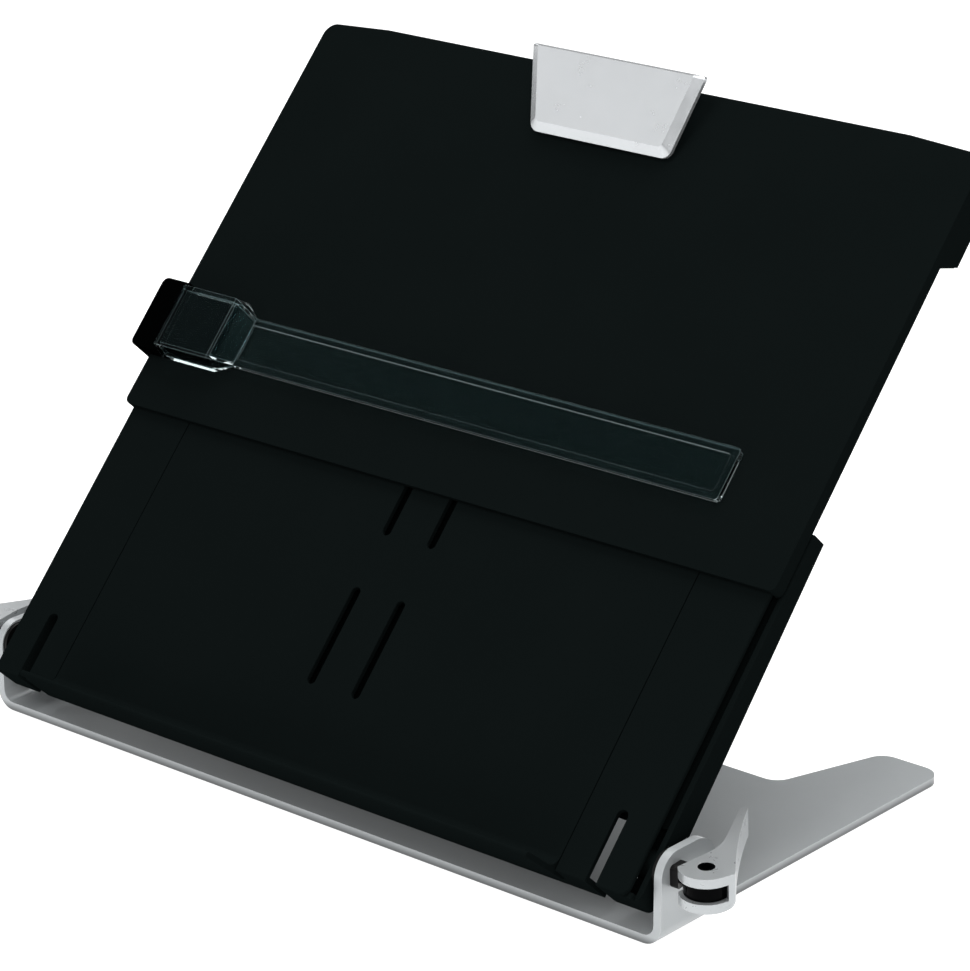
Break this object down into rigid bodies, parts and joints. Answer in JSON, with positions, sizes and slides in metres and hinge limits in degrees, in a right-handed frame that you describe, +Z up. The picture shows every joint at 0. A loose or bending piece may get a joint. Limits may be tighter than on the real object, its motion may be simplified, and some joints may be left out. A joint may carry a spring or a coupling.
{
  "type": "copy holder",
  "caption": "Desk copy holder: a tilting, extending flat board on a bent sheet base, with cam levers at the pivots, a paper ledge, a top clip and a clear line guide on an edge slider.",
  "frame": {"origin": "on the desk, under the middle of the base plate", "axes": "+X to the right as seen by the reader, +Y to the back, +Z up"},
  "size_m": [0.3436, 0.2065, 0.2314],
  "materials": {
    "silver_paint": "satin silver paint",
    "lever_silver": "satin silver",
    "clip_silver": "satin silver",
    "black_plastic": "fine matte grain",
    "black_nylon": "matte",
    "black_rubber": "matte",
    "bright_steel": "bright zinc",
    "black_steel": "gloss black",
    "clear_plastic": "clear polished acrylic"
  },
  "bodies": {
    "base": {"base_plate": "silver_paint", "foot_pads": "black_rubber", "eye_bolt_right": "black_steel", "eye_bolt_left": "black_steel", "clamp_nuts": "bright_steel", "saddle_washer_right": "black_nylon", "saddle_washer_left": "black_nylon", "friction_washers": "black_nylon"},
    "board": {"back_frame": "black_plastic", "side_strip_right": "black_plastic", "side_strip_left": "black_plastic", "ledge_panel": "black_plastic", "frame_screws": "bright_steel", "slide_springs": "bright_steel"},
    "upper": {"upper_board": "black_plastic", "rear_cover": "black_plastic", "cover_screws": "bright_steel", "clip_bracket": "bright_steel", "bracket_rivets": "bright_steel", "clip_pin": "bright_steel", "clip_spring": "bright_steel"},
    "clip": {"paper_clip": "clip_silver", "clip_pad": "black_rubber"},
    "guide": {"guide_carriage": "black_plastic", "guide_spring": "bright_steel", "line_guide": "clear_plastic"},
    "lever_r": {"clamp_lever_right": "lever_silver", "cross_pin_right": "black_steel"},
    "lever_l": {"clamp_lever_left": "lever_silver", "cross_pin_left": "black_steel"}
  },
  "joints": [
    {"name": "board_tilt", "type": "hinge", "parent": "base", "child": "board", "pos_m": [0, -0.07435, 0.0247], "axis": [1, 0, 0], "range_deg": [-45, 30]},
    {"name": "board_extend", "type": "slide", "parent": "board", "child": "upper", "axis": [0, 0.6762, 0.7367], "range_m": [-0.095, 0]},
    {"name": "clip_open", "type": "hinge", "parent": "upper", "child": "clip", "pos_m": [0, 0.08029, 0.21668], "axis": [-1, 0, 0], "range_deg": [0, 30], "stiffness_Nm_per_rad": 0.1, "springref_deg": -28.65},
    {"name": "guide_slide", "type": "slide", "parent": "upper", "child": "guide", "axis": [0, 0.6762, 0.7367], "range_m": [0, 0.085]},
    {"name": "lever_right", "type": "hinge", "parent": "base", "child": "lever_r", "pos_m": [0.1618, -0.07435, 0.0247], "axis": [0, 0.0523, -0.9986], "range_deg": [0, 100]},
    {"name": "lever_left", "type": "hinge", "parent": "base", "child": "lever_l", "pos_m": [-0.1618, -0.07435, 0.0247], "axis": [0, -0.0523, 0.9986], "range_deg": [0, 100]}
  ]
}
